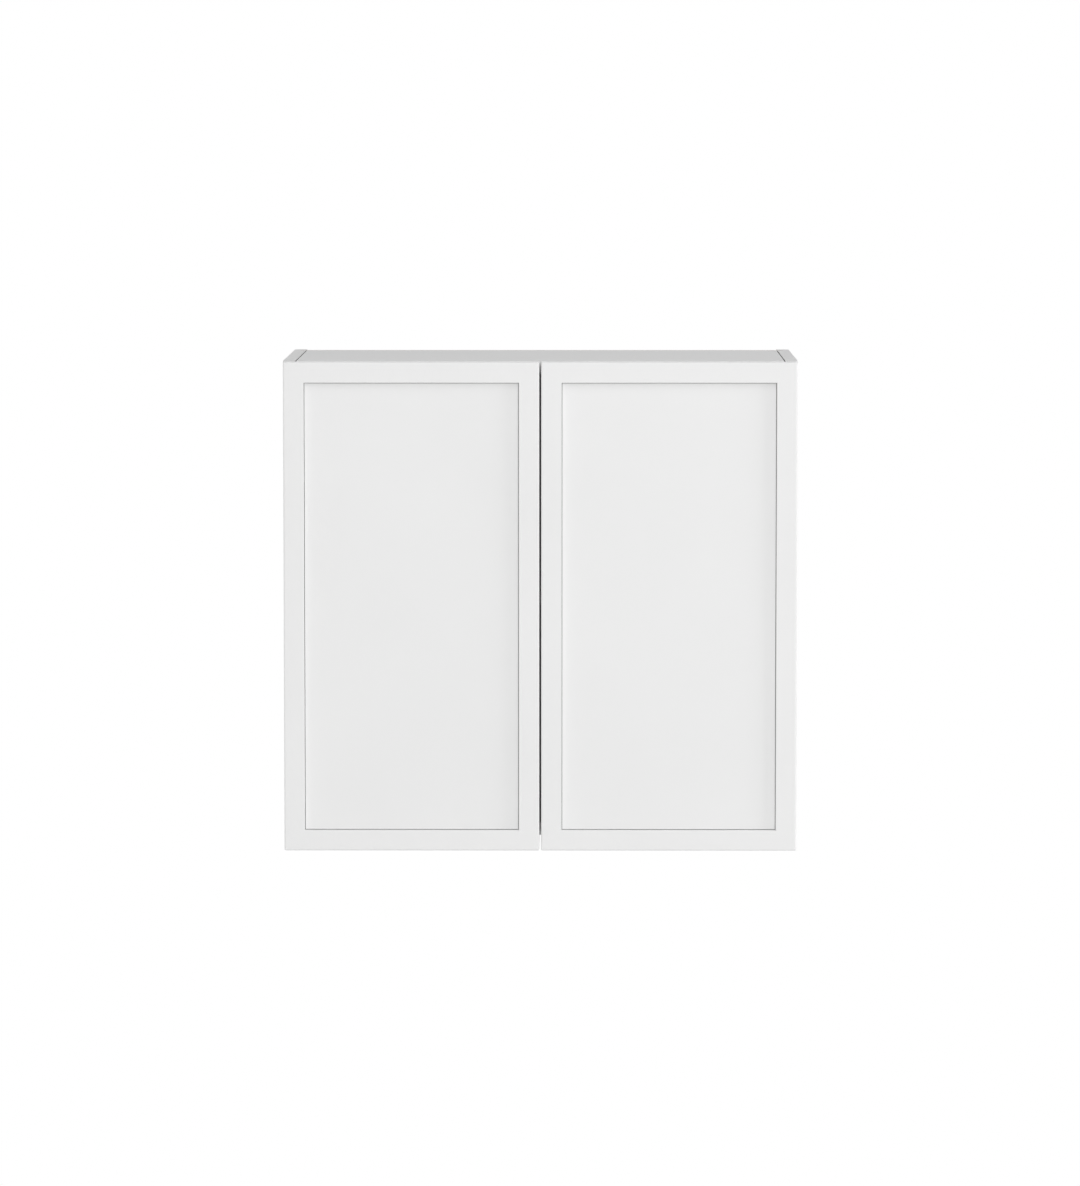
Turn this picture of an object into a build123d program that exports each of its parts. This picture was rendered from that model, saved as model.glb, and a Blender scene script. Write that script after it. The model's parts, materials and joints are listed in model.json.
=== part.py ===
from build123d import *
from math import atan2, tan
import os

# Hanging wall cabinet with two handleless framed doors, all sizes in millimetres.
# X runs to the right, Y from the doors to the wall, Z up.
# The origin is the middle of the four wall screws, on the wall plane.

# Carcass
cabinet_width = 600
carcass_height = 556
carcass_depth = 310
board = 15
board_edge_round = 0.8
seam_groove_half_width = 0.65
seam_groove_depth = 2.8
back_board = 3
back_recess = 21
groove_depth = 7
groove_clearance = 0.1
screws_below_top = 70

# Shelf and its supports
shelf_above_floor = 255
shelf_front_setback = 15
shelf_side_clearance = 1
shelf_back_clearance = 1
support_peg_radius = 2.5
support_peg_length = 8
support_spade_width = 14
support_spade_reach = 8
support_spade_thickness = 2.5
support_spade_round = 3

# Rows of shelf holes in both sides
row_pitch = 32
row_holes = 7
row_front_setback = 37
row_from_rear = 41
row_hole_depth = 10

# Knock-down fittings between sides, top and bottom
fitting_front_setback = 45
fitting_from_rear = 46
cam_radius = 7.5
cam_height = 12.5
cam_from_end = 24
cam_slot_half_width = 0.6
cam_slot_depth = 1.2
cam_bolt_radius = 3
cam_bolt_head_radius = 3.4
cam_bolt_head_length = 3
cam_bolt_grip = 11
dowel_radius = 4
dowel_length = 30
dowel_in_side = 10
dowel_from_cam = 32
fitting_clearance = 0.1

# Doors
door_overhang = 15.5
door_top_reveal = 0.5
door_side_reveal = 1
door_centre_gap = 2
door_standoff = 2.5
door_board = 16
door_edge_round = 1.8
frame_strip_width = 24
frame_strip_thickness = 6
frame_inner_chamfer = 0.6
shadow_groove_width = 0.7
shadow_groove_depth = 1.8
bumper_radius = 4
bumper_height = 2.2
bumper_chamfer = 1.2
bumper_from_edge = 14

# Cup hinges
hinge_from_carcass_end = 100
cup_radius = 17.5
cup_edge_distance = 3
cup_depth = 12.8
cup_wall = 1
cup_floor = 0.8
cup_hole_clearance = 0.05
cup_hole_bottom_clearance = 0.2
flange_radius = 18.4
flange_thickness = 0.7
flange_wing_width = 13
flange_wing_length = 58
flange_wing_round = 6
cup_screw_spacing = 45
cup_screw_offset = 9.5
cup_screw_radius = 1.75
cup_screw_length = 11
cup_screw_head_radius = 3.6
cup_screw_head_height = 1.6
pivot_from_door_edge = 7.4
pivot_from_door_back = 9
pivot_pin_radius = 1.25
pivot_pin_overhang = 0.3
pivot_running_clearance = 0.05
knuckle_radius = 2.5
cup_ear_radius = 2.4
cup_ear_sheet = 1.5
cup_ear_clearance = 0.4
arm_sheet = 2
arm_middle_height = 6.5
arm_neck_half_width = 4
arm_half_width = 9
arm_length = 62
arm_end_round = 4
arm_shoulder_setback = 4
arm_taper_length = 9
arm_bend_round = 2.5
arm_wall = 1.5
arm_wall_height = 3
arm_wall_setback = 18
spring_thickness = 0.8
spring_half_width = 5
spring_lift = 0.9
spring_foot_length = 6
spring_ramp_length = 6
spring_tip_clearance = 1.3
plate_thickness = 2
plate_wing_width = 14
plate_wing_length = 48
plate_wing_round = 6
plate_screw_setback = 37
plate_screw_spacing = 32
plate_screw_radius = 2.5
plate_screw_length = 12
plate_screw_head_radius = 4.2
plate_screw_head_height = 2.2
plate_rail_half_width = 6.5
plate_rail_front = 12
plate_rail_rear = 60
arm_screw_radius = 2.5
arm_screw_head_radius = 3.8
arm_screw_head_height = 2
arm_screw_grip = 3
arm_adjuster_setback = 24
arm_clamp_setback = 52

# Adjustable hangers and their wall plates
housing_width = 26
housing_depth = 40
housing_bottom = -6
housing_top_clearance = 2
housing_wall = 1.8
housing_round = 2
housing_peg_radius = 4
housing_peg_length = 10
housing_peg_inset = 12
cap_wall = 1.3
cap_clearance = 0.3
cap_round = 1.2
hook_width = 14
hook_sheet = 3
hook_lip_sheet = 2.5
hook_bend_round = 2.2
hook_lip_drop = 7
hook_wall_gap = 3
hook_leg_drop = 26
hook_leg_from_front = 6
hook_travel = 8
hook_opening_margin = 1.5
hook_opening_side_clearance = 2
slot_half_width = 3.4
depth_screw_radius = 3
depth_screw_below_bar = 13
depth_screw_reach = 12
hanger_screw_head_radius = 3.9
hanger_screw_head_height = 1.5
hanger_screw_hole_clearance = 0.2
lift_shaft_radius = 2.5
lift_cam_radius = 8
lift_cam_throw = 4
lift_cam_clearance = 0.3
wall_plate_sheet = 2
wall_plate_width = 44
wall_plate_side_gap = 3
wall_plate_flat_half_height = 24
wall_plate_joggle = 6
wall_plate_lip_offset = 7
wall_plate_lip_height = 9
wall_plate_round = 4
wall_screw_hole_radius = 3.5
wall_screw_rise = 32

# Places that follow from the sizes
half_width = cabinet_width / 2
inner_half = half_width - board
carcass_top = screws_below_top
carcass_bottom = carcass_top - carcass_height
floor_z = carcass_bottom + board
ceiling_z = carcass_top - board
carcass_front = -carcass_depth
panel_rear = -(back_recess + back_board)
door_top = carcass_top - door_top_reveal
door_bottom = carcass_bottom - door_overhang
door_thickness = door_board + frame_strip_thickness
door_back = carcass_front - door_standoff
door_board_front = door_back - door_board
door_front = door_back - door_thickness
door_outer_x = -half_width + door_side_reveal
door_inner_x = -door_centre_gap / 2
shelf_underside = floor_z + shelf_above_floor
hinge_heights = {
    "upper": carcass_top - hinge_from_carcass_end,
    "lower": carcass_bottom + hinge_from_carcass_end,
}
cup_u = door_side_reveal + cup_edge_distance + cup_radius
pivot_u = door_side_reveal + pivot_from_door_edge
pivot_v = door_standoff + pivot_from_door_back
cup_floor_v = door_standoff + cup_depth - cup_floor
ear_outside = arm_neck_half_width + cup_ear_clearance + cup_ear_sheet
pivot_pin_half_length = ear_outside + pivot_pin_overhang
arm_u = board + arm_middle_height
plate_rail_top = arm_u - arm_sheet / 2
hook_u = board + housing_width / 2
hook_x = -half_width + hook_u
lip_top = wall_plate_flat_half_height + wall_plate_joggle + wall_plate_lip_height
housing_top = ceiling_z - housing_top_clearance
housing_front = panel_rear - housing_depth
leg_front = housing_front + hook_leg_from_front
leg_bottom = lip_top - hook_leg_drop
wall_plate_x = -inner_half + wall_plate_side_gap + wall_plate_width / 2

os.makedirs("parts", exist_ok=True)


def block(x_range, y_range, z_range):
    """Box between two bounds on each axis."""
    sizes = [high - low for low, high in (x_range, y_range, z_range)]
    middles = [(high + low) / 2 for low, high in (x_range, y_range, z_range)]
    return Pos(*middles) * Box(*sizes)


def rod(start, direction, radius, length):
    """Cylinder that starts at a point and runs along a direction."""
    return extrude(Plane(origin=start, z_dir=direction) * Circle(radius), length)


def profile_plane(z):
    """Plane of a hinge's section: u inward from the side's outer face, v forward from the front edge."""
    return Plane(origin=(-half_width, carcass_front, z), x_dir=(1, 0, 0), z_dir=(0, 0, -1))


def front_plane(z, v):
    """Plane parallel to the doors at height z, v in front of the carcass, with u to the right."""
    return Plane(origin=(-half_width, carcass_front - v, z), x_dir=(1, 0, 0), z_dir=(0, -1, 0))


def side_plane(z, u):
    """Plane parallel to the left side, u from its outer face, facing into the cabinet."""
    return Plane(origin=(-half_width + u, carcass_front, z), x_dir=(0, 1, 0), z_dir=(1, 0, 0))


def group(solids):
    """Separate like solids kept together under one name."""
    return Compound(children=[solid for piece in solids for solid in piece.solids()])


def mirrored(piece):
    """The same piece for the right half of the cabinet."""
    return mirror(piece, about=Plane.YZ)


def row_heights():
    """Heights of the shelf holes, with the shelf's supports in the middle hole."""
    middle = shelf_underside - support_spade_thickness - support_peg_radius
    return [middle + row_pitch * (n - (row_holes - 1) // 2) for n in range(row_holes)]


def row_places():
    """Y of the front and the rear row of shelf holes."""
    return (carcass_front + row_front_setback, panel_rear - row_from_rear)


def fitting_places():
    """Y of the two cam fittings on each panel end."""
    return (carcass_front + fitting_front_setback, panel_rear - fitting_from_rear)


def panel_middles():
    """Mid-thickness heights of the top and the bottom panel."""
    return (carcass_top - board / 2, carcass_bottom + board / 2)


def dowel_place(fitting_y):
    """Y of the dowel beside a cam fitting, on the side towards the middle of the depth."""
    inward = 1 if fitting_y == fitting_places()[0] else -1
    return fitting_y + inward * dowel_from_cam


def seam_groove(outer_z, into):
    """Shadow groove over the seam of the left side with the top (into -1) or the bottom panel."""
    x_range = (-inner_half - seam_groove_half_width, -inner_half + seam_groove_half_width)
    z_range = sorted((outer_z, outer_z + into * seam_groove_depth))
    return block(x_range, (carcass_front, panel_rear), z_range)


def left_side_panel():
    panel = block((-half_width, -inner_half), (carcass_front, 0), (carcass_bottom, carcass_top))
    panel = fillet(panel.edges().filter_by(Axis.Z).group_by(Axis.Y)[0], board_edge_round)
    panel -= [seam_groove(carcass_top, -1), seam_groove(carcass_bottom, 1)]
    groove_half = back_board / 2 + groove_clearance
    groove_middle = -back_recess - back_board / 2
    panel -= block((-inner_half - groove_depth, -inner_half),
                   (groove_middle - groove_half, groove_middle + groove_half),
                   (carcass_bottom, carcass_top))
    inward_face = -inner_half
    holes = []
    for y in row_places():
        for z in row_heights():
            holes.append(rod((inward_face, y, z), (-1, 0, 0), support_peg_radius, row_hole_depth))
    for y in fitting_places():
        for z in panel_middles():
            holes.append(rod((inward_face, y, z), (-1, 0, 0), cam_bolt_radius, cam_bolt_grip))
            holes.append(rod((inward_face, dowel_place(y), z), (-1, 0, 0), dowel_radius, dowel_in_side))
    for y, z in housing_pegs():
        holes.append(rod((inward_face, y, z), (-1, 0, 0), housing_peg_radius, housing_peg_length))
    for z in hinge_heights.values():
        for y, screw_z in plate_screw_places(z):
            depth = plate_screw_length - plate_thickness
            holes.append(rod((inward_face, y, screw_z), (-1, 0, 0), plate_screw_radius, depth))
    return panel - holes


def horizontal_panel(middle_z, groove):
    """Top or bottom panel, bored for its dowels and for cams that open on its underside."""
    low, high = middle_z - board / 2, middle_z + board / 2
    panel = block((-inner_half, inner_half), (carcass_front, panel_rear), (low, high))
    panel = fillet(panel.edges().filter_by(Axis.X).group_by(Axis.Y)[0], board_edge_round)
    panel -= [groove, mirrored(groove)]
    cam_bore = cam_radius + fitting_clearance
    bolt_bore = cam_bolt_head_radius + fitting_clearance
    holes = []
    for sign in (-1, 1):
        end_x = sign * inner_half
        inward = (-sign, 0, 0)
        for y in fitting_places():
            holes.append(rod((end_x - sign * cam_from_end, y, low), (0, 0, 1), cam_bore, cam_height))
            holes.append(rod((end_x, y, middle_z), inward, bolt_bore, cam_from_end))
            dowel_bore = dowel_length - dowel_in_side
            holes.append(rod((end_x, dowel_place(y), middle_z), inward, dowel_radius, dowel_bore))
    return panel - holes


def back_panel():
    reach = inner_half + groove_depth - groove_clearance
    panel = block((-reach, reach), (panel_rear, -back_recess), (carcass_bottom, carcass_top))
    half_opening = hook_width / 2 + hook_opening_side_clearance
    low = lip_top - hook_lip_drop - hook_opening_margin
    high = lip_top + hook_sheet + hook_travel + hook_opening_margin
    for x in (hook_x, -hook_x):
        panel -= block((x - half_opening, x + half_opening), (panel_rear, -back_recess), (low, high))
    return panel


def fitting_sites():
    """Each panel end's side sign, mid-thickness height and Y."""
    for middle_z in panel_middles():
        for sign in (-1, 1):
            for y in fitting_places():
                yield sign, middle_z, y


def cam_locks():
    """Round cam housings, open where the bolt's head enters, with a driver slot below."""
    locks = []
    for sign, middle_z, y in fitting_sites():
        cam_x = sign * (inner_half - cam_from_end)
        low = middle_z - board / 2
        lock = rod((cam_x, y, low), (0, 0, 1), cam_radius, cam_height)
        notch = cam_bolt_head_radius + fitting_clearance
        lock -= rod((cam_x, y, middle_z), (sign, 0, 0), notch, 2 * cam_radius)
        lock -= rod((cam_x, y, middle_z), (-sign, 0, 0), notch, cam_bolt_head_length / 2)
        slot_x = (cam_x - cam_radius, cam_x + cam_radius)
        slot_y = (y - cam_slot_half_width, y + cam_slot_half_width)
        locks.append(lock - block(slot_x, slot_y, (low, low + cam_slot_depth)))
    return group(locks)


def cam_bolts():
    """Bolts from the sides into the cams: threaded grip, shank and head."""
    bolts = []
    for sign, middle_z, y in fitting_sites():
        inward = (-sign, 0, 0)
        start = (sign * (inner_half + cam_bolt_grip), y, middle_z)
        bolt = rod(start, inward, cam_bolt_radius, cam_bolt_grip + cam_from_end)
        head_start = (sign * (inner_half - cam_from_end + cam_bolt_head_length / 2), y, middle_z)
        bolts.append(bolt + rod(head_start, inward, cam_bolt_head_radius, cam_bolt_head_length))
    return group(bolts)


def wood_dowels():
    dowels = []
    for sign, middle_z, y in fitting_sites():
        start = (sign * (inner_half + dowel_in_side), dowel_place(y), middle_z)
        dowels.append(rod(start, (-sign, 0, 0), dowel_radius, dowel_length))
    return group(dowels)


def shelf():
    reach = inner_half - shelf_side_clearance
    depth_range = (carcass_front + shelf_front_setback, panel_rear - shelf_back_clearance)
    panel = block((-reach, reach), depth_range, (shelf_underside, shelf_underside + board))
    return fillet(panel.edges().filter_by(Axis.X).group_by(Axis.Y)[0], board_edge_round)


def shelf_supports():
    """Spade supports: a peg in the side and a flat tongue under the shelf."""
    supports = []
    middle_row = row_heights()[(row_holes - 1) // 2]
    for y in row_places():
        peg = rod((-inner_half, y, middle_row), (-1, 0, 0), support_peg_radius, support_peg_length)
        tongue = block((-inner_half, -inner_half + support_spade_reach),
                       (y - support_spade_width / 2, y + support_spade_width / 2),
                       (shelf_underside - support_spade_thickness, shelf_underside))
        free_corners = tongue.edges().filter_by(Axis.Z).group_by(Axis.X)[-1]
        tongue = fillet(free_corners, support_spade_round)
        root = block((-inner_half, -inner_half + support_spade_thickness),
                     (y - support_peg_radius, y + support_peg_radius),
                     (middle_row - support_peg_radius, shelf_underside - support_spade_thickness))
        supports.append(peg + tongue + root)
    return group(supports + [mirrored(support) for support in supports])


def door_board_left():
    """Door board with rounded rear edges, a shadow groove along the frame and two cup holes."""
    panel = block((door_outer_x, door_inner_x), (door_board_front, door_back), (door_bottom, door_top))
    rear_edges = panel.faces().sort_by(Axis.Y)[-1].edges()
    panel = fillet(rear_edges + panel.edges().filter_by(Axis.Y), door_edge_round)
    opening_x = (door_outer_x + frame_strip_width, door_inner_x - frame_strip_width)
    opening_z = (door_bottom + frame_strip_width, door_top - frame_strip_width)
    groove_y = (door_board_front, door_board_front + shadow_groove_depth)
    inset_x = (opening_x[0] + shadow_groove_width, opening_x[1] - shadow_groove_width)
    inset_z = (opening_z[0] + shadow_groove_width, opening_z[1] - shadow_groove_width)
    panel -= block(opening_x, groove_y, opening_z) - block(inset_x, groove_y, inset_z)
    for z in hinge_heights.values():
        hole = Pos(cup_u, 0) * Circle(cup_radius + cup_hole_clearance)
        panel -= extrude(front_plane(z, door_standoff) * hole, cup_depth + cup_hole_bottom_clearance)
        for w in (-cup_screw_spacing / 2, cup_screw_spacing / 2):
            pilot = Pos(cup_u + cup_screw_offset, w) * Circle(cup_screw_radius)
            panel -= extrude(front_plane(z, door_standoff) * pilot, cup_screw_length)
    return panel


def door_frame_left():
    """The four strips of the left door's frame by name; stiles run through, rails fit between."""
    thickness = (door_front, door_board_front)
    stile_x = (door_outer_x, door_outer_x + frame_strip_width, door_inner_x - frame_strip_width, door_inner_x)
    rail_z = (door_bottom, door_bottom + frame_strip_width, door_top - frame_strip_width, door_top)
    ring = block((door_outer_x, door_inner_x), thickness, (door_bottom, door_top))
    front_edges = ring.faces().sort_by(Axis.Y)[0].edges()
    ring = fillet(front_edges + ring.edges().filter_by(Axis.Y), door_edge_round)
    ring -= block(stile_x[1:3], thickness, rail_z[1:3])
    opening_edges = ring.faces().sort_by(Axis.Y)[0].inner_wires()[0].edges()
    ring = chamfer(opening_edges, frame_inner_chamfer)
    return {
        "outer_stile": ring & block(stile_x[:2], thickness, (door_bottom, door_top)),
        "inner_stile": ring & block(stile_x[2:], thickness, (door_bottom, door_top)),
        "top_rail": ring & block(stile_x[1:3], thickness, rail_z[2:]),
        "bottom_rail": ring & block(stile_x[1:3], thickness, rail_z[:2]),
    }


def bumpers_left():
    """Soft domes at the door's free corners that land on the carcass edges."""
    domes = []
    for z in panel_middles():
        dome = rod((door_inner_x - bumper_from_edge, door_back, z), (0, 1, 0), bumper_radius, bumper_height)
        domes.append(chamfer(dome.faces().sort_by(Axis.Y)[-1].edges(), bumper_chamfer))
    return group(domes)


def hinge_cup(z):
    """Drawn cup with a screw flange and two ears that hold the pivot pin."""
    door_face = front_plane(z, door_standoff)
    wings = RectangleRounded(flange_wing_width, flange_wing_length, flange_wing_round)
    outline = Pos(cup_u, 0) * Circle(flange_radius) + Pos(cup_u + cup_screw_offset, 0) * wings
    flange = extrude(door_face * outline, -flange_thickness)
    body = extrude(door_face * (Pos(cup_u, 0) * Circle(cup_radius)), cup_depth)
    hollow_depth = flange_thickness + cup_depth - cup_floor
    hollow_sketch = Pos(cup_u, 0) * Circle(cup_radius - cup_wall)
    hollow = extrude(front_plane(z, door_standoff - flange_thickness) * hollow_sketch, hollow_depth)
    cup = flange + body - hollow
    foot_height = cup_floor_v + cup_floor / 2 - pivot_v
    foot = Pos(pivot_u, pivot_v + foot_height / 2) * Rectangle(2 * cup_ear_radius, foot_height)
    ear = Pos(pivot_u, pivot_v) * Circle(cup_ear_radius) + foot
    ears = extrude(profile_plane(z) * ear, ear_outside, both=True)
    cup += ears - extrude(profile_plane(z) * ear, ear_outside - cup_ear_sheet, both=True)
    for w in (-cup_screw_spacing / 2, cup_screw_spacing / 2):
        hole = Pos(cup_u + cup_screw_offset, w) * Circle(cup_screw_radius)
        cup -= extrude(door_face * hole, -flange_thickness)
    return cup - pivot_rod(z, pivot_pin_radius, pivot_pin_half_length)


def pivot_rod(z, radius, half_length):
    """Round bar on the hinge's pivot axis."""
    return extrude(profile_plane(z) * (Pos(pivot_u, pivot_v) * Circle(radius)), half_length, both=True)


def hinge_arm(z):
    """Pressed arm: channel along the side, cranked neck into the cup, knuckle round the pin."""
    bend_v = pivot_v + arm_sheet / 2
    inside_u, outside_u = arm_u - arm_sheet / 2, arm_u + arm_sheet / 2
    neck = Polygon((pivot_u, pivot_v - arm_sheet / 2), (inside_u, pivot_v - arm_sheet / 2),
                   (inside_u, -arm_shoulder_setback), (outside_u, -arm_shoulder_setback),
                   (outside_u, bend_v), (pivot_u, bend_v), align=None)
    outer_corner = neck.vertices().sort_by_distance((outside_u, bend_v))[0]
    neck = fillet(outer_corner, arm_bend_round)
    neck = neck + Pos(pivot_u, pivot_v) * Circle(knuckle_radius)
    arm = extrude(profile_plane(z) * neck, arm_neck_half_width, both=True)
    shoulder, wide = arm_shoulder_setback, arm_shoulder_setback + arm_taper_length
    half = Polyline((shoulder, 0), (shoulder, arm_neck_half_width), (wide, arm_half_width),
                    (arm_length, arm_half_width), (arm_length, 0))
    web = make_face(Curve() + [half, half.mirror(Plane.XZ)])
    rear_points = web.vertices().group_by(Axis.X)[-1].sort_by(Axis.Y)
    web = fillet([rear_points[0], rear_points[-1]], arm_end_round)
    arm += extrude(side_plane(z, inside_u) * web, arm_sheet)
    wall_length = arm_length - arm_end_round - arm_wall_setback
    wall_middle = arm_wall_setback + wall_length / 2
    for w in (-arm_half_width + arm_wall / 2, arm_half_width - arm_wall / 2):
        wall = Pos(wall_middle, w) * Rectangle(wall_length, arm_wall)
        arm += extrude(side_plane(z, inside_u) * wall, -arm_wall_height)
    for setback in (arm_adjuster_setback, arm_clamp_setback):
        arm -= extrude(side_plane(z, inside_u) * (Pos(setback, 0) * Circle(arm_screw_radius)), arm_sheet)
    return arm - pivot_rod(z, pivot_pin_radius + pivot_running_clearance, arm_neck_half_width)


def plate_screw_places(z):
    """Y and Z of the two screws of a mounting plate."""
    y = carcass_front + plate_screw_setback
    return [(y, z - plate_screw_spacing / 2), (y, z + plate_screw_spacing / 2)]


def mounting_plate(z):
    """Winged plate screwed to the side, with the raised rail that the arm sits on."""
    wing = RectangleRounded(plate_wing_width, plate_wing_length, plate_wing_round)
    rail_middle = (plate_rail_front + plate_rail_rear) / 2
    rail = Pos(rail_middle, 0) * Rectangle(plate_rail_rear - plate_rail_front, 2 * plate_rail_half_width)
    plate = extrude(side_plane(z, board) * (Pos(plate_screw_setback, 0) * wing), plate_thickness)
    plate += extrude(side_plane(z, board) * rail, plate_rail_top - board)
    for y, screw_z in plate_screw_places(z):
        plate -= rod((-inner_half, y, screw_z), (1, 0, 0), plate_screw_radius, plate_thickness)
    for setback in (arm_adjuster_setback, arm_clamp_setback):
        hole = Pos(setback, 0) * Circle(arm_screw_radius)
        plate -= extrude(side_plane(z, plate_rail_top) * hole, -arm_screw_grip)
    return plate


def pan_head_screw(start, direction, radius, length, head_radius, head_height):
    """Screw with its head's seat at start, its shank along direction and its head behind."""
    back = [-value for value in direction]
    return rod(start, back, head_radius, head_height) + rod(start, direction, radius, length)


def plate_screws_left():
    screws = []
    for z in hinge_heights.values():
        for y, screw_z in plate_screw_places(z):
            seat = (-inner_half + plate_thickness, y, screw_z)
            screws.append(pan_head_screw(seat, (-1, 0, 0), plate_screw_radius, plate_screw_length,
                                         plate_screw_head_radius, plate_screw_head_height))
    return group(screws)


def arm_screws_left():
    """Adjusting and clamping screws through the arms into the plates."""
    screws = []
    for z in hinge_heights.values():
        for setback in (arm_adjuster_setback, arm_clamp_setback):
            seat = (-half_width + arm_u + arm_sheet / 2, carcass_front + setback, z)
            screws.append(pan_head_screw(seat, (-1, 0, 0), arm_screw_radius, arm_sheet + arm_screw_grip,
                                         arm_screw_head_radius, arm_screw_head_height))
    return group(screws)


def cup_screws_left():
    screws = []
    for z in hinge_heights.values():
        for w in (-cup_screw_spacing / 2, cup_screw_spacing / 2):
            seat = (-half_width + cup_u + cup_screw_offset, door_back + flange_thickness, z + w)
            length = cup_screw_length + flange_thickness
            screws.append(pan_head_screw(seat, (0, -1, 0), cup_screw_radius, length,
                                         cup_screw_head_radius, cup_screw_head_height))
    return group(screws)


def hinge_springs_left():
    """Closing leaf springs: a foot on the cup's floor, a ramp and a tongue under the neck."""
    foot_end = cup_u + cup_radius - cup_wall - spring_foot_length / 2
    foot_start = foot_end - spring_foot_length
    ramp_start = foot_start - spring_ramp_length
    tip = pivot_u + knuckle_radius + spring_tip_clearance
    foot_v = cup_floor_v - spring_thickness
    tongue_v = foot_v - spring_lift
    tongue_back_v = tongue_v + spring_thickness
    leaf = Polygon((foot_end, cup_floor_v), (foot_start, cup_floor_v), (ramp_start, tongue_back_v),
                   (tip, tongue_back_v), (tip, tongue_v), (ramp_start, tongue_v),
                   (foot_start, foot_v), (foot_end, foot_v), align=None)
    planes = [profile_plane(z) for z in hinge_heights.values()]
    return group([extrude(plane * leaf, spring_half_width, both=True) for plane in planes])


def hinge_pins_left():
    pins = [pivot_rod(z, pivot_pin_radius, pivot_pin_half_length) for z in hinge_heights.values()]
    return group(pins)


def housing_pegs():
    """Y and Z of the two pegs that hold a hanger housing in the side."""
    y = (panel_rear + housing_front) / 2
    return [(y, housing_bottom + housing_peg_inset), (y, housing_top - housing_peg_inset)]


def depth_screw_z():
    return lip_top + hook_sheet - depth_screw_below_bar


def lift_shaft_z():
    """Axis of the eccentric, which stands at its lowest just under the hook's leg."""
    return leg_bottom - lift_cam_clearance - (lift_cam_radius - lift_cam_throw)


def hanger_housing_left():
    """Open-backed plastic box in the top corner, pegged into the side."""
    x_range = (-inner_half, -inner_half + housing_width)
    shell = block(x_range, (housing_front, panel_rear), (housing_bottom, housing_top))
    shell = fillet(shell.faces().sort_by(Axis.Y)[0].edges(), housing_round)
    shell -= block((x_range[0] + housing_wall, x_range[1] - housing_wall),
                   (housing_front + housing_wall, panel_rear),
                   (housing_bottom + housing_wall, housing_top - housing_wall))
    for z in (depth_screw_z(), lift_shaft_z()):
        hole_radius = hanger_screw_head_radius + hanger_screw_hole_clearance
        shell -= rod((hook_x, housing_front, z), (0, 1, 0), hole_radius, housing_wall)
    for y, z in housing_pegs():
        shell += rod((-inner_half, y, z), (-1, 0, 0), housing_peg_radius, housing_peg_length)
    return shell


def hanger_cap_left():
    """Snap-on cover over the housing's front, free side, top and bottom."""
    reach = cap_clearance + cap_wall
    outer = block((-inner_half, -inner_half + housing_width + reach), (housing_front - reach, panel_rear),
                  (housing_bottom - reach, housing_top + reach))
    rounded = outer.faces().sort_by(Axis.Y)[0].edges()
    outer = fillet(rounded.sort_by(Axis.X)[1:], cap_round)
    inner = block((-inner_half, -inner_half + housing_width + cap_clearance),
                  (housing_front - cap_clearance, panel_rear),
                  (housing_bottom - cap_clearance, housing_top + cap_clearance))
    return outer - inner


def hook_left():
    """Bent steel hook: lip behind the wall plate, bar through the back, slotted leg in the housing."""
    sides = (hook_x - hook_width / 2, hook_x + hook_width / 2)
    bar_z = (lip_top, lip_top + hook_sheet)
    lip_y = (-hook_wall_gap - hook_lip_sheet, -hook_wall_gap)
    hook = block(sides, (leg_front, lip_y[1]), bar_z)
    hook += block(sides, lip_y, (lip_top - hook_lip_drop, bar_z[1]))
    hook += block(sides, (leg_front, leg_front + hook_sheet), (leg_bottom, bar_z[1]))
    upper_outside = hook.edges().filter_by(Axis.X).group_by(Axis.Z)[-1]
    hook = fillet(upper_outside, hook_bend_round)
    slot_x = (hook_x - slot_half_width, hook_x + slot_half_width)
    slot_z = (depth_screw_z() - slot_half_width - hook_travel, depth_screw_z() + slot_half_width)
    return hook - block(slot_x, (leg_front, leg_front + hook_sheet), slot_z)


def hanger_screw(z, shaft_radius, reach):
    """Screw through the housing's front wall, its head flush with the front."""
    head = rod((hook_x, housing_front, z), (0, 1, 0), hanger_screw_head_radius, hanger_screw_head_height)
    return head + rod((hook_x, housing_front, z), (0, 1, 0), shaft_radius, reach)


def depth_screw_left():
    """Screw that pulls the hook towards the wall, through the slot in its leg."""
    return hanger_screw(depth_screw_z(), depth_screw_radius, depth_screw_reach)


def lift_screw_left():
    """Screw with an eccentric disc under the hook's leg, at its lowest."""
    z = lift_shaft_z()
    cam_start = (hook_x, leg_front, z - lift_cam_throw)
    reach = leg_front - housing_front + hook_sheet
    return hanger_screw(z, lift_shaft_radius, reach) + rod(cam_start, (0, 1, 0), lift_cam_radius, hook_sheet)


def wall_plate_outline():
    """Section of the wall plate: flat on the wall, stepped forward to the lip, one sheet thick."""
    low, bend = -wall_plate_flat_half_height, wall_plate_flat_half_height
    lip_base = bend + wall_plate_joggle
    wall_side = [(0, low), (0, bend), (-wall_plate_lip_offset, lip_base), (-wall_plate_lip_offset, lip_top)]
    bend_drop = wall_plate_sheet * tan(atan2(wall_plate_lip_offset, wall_plate_joggle) / 2)
    drops = (0, bend_drop, bend_drop, 0)
    front_side = [(y - wall_plate_sheet, z - drop) for (y, z), drop in zip(wall_side, drops)]
    return Polygon(*wall_side, *reversed(front_side), align=None)


def wall_plate_left():
    """Sheet plate on the wall with a stepped upper lip that the hook drops behind."""
    plane = Plane(origin=(wall_plate_x, 0, 0), x_dir=(0, 1, 0), z_dir=(1, 0, 0))
    plate = extrude(plane * wall_plate_outline(), wall_plate_width / 2, both=True)
    corners = plate.edges().filter_by(Axis.Y).group_by(Axis.Z)
    plate = fillet(corners[0] + corners[-1], wall_plate_round)
    for z in (-wall_screw_rise / 2, wall_screw_rise / 2):
        plate -= rod((wall_plate_x, 0, z), (0, -1, 0), wall_screw_hole_radius, wall_plate_sheet)
    return plate


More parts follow.
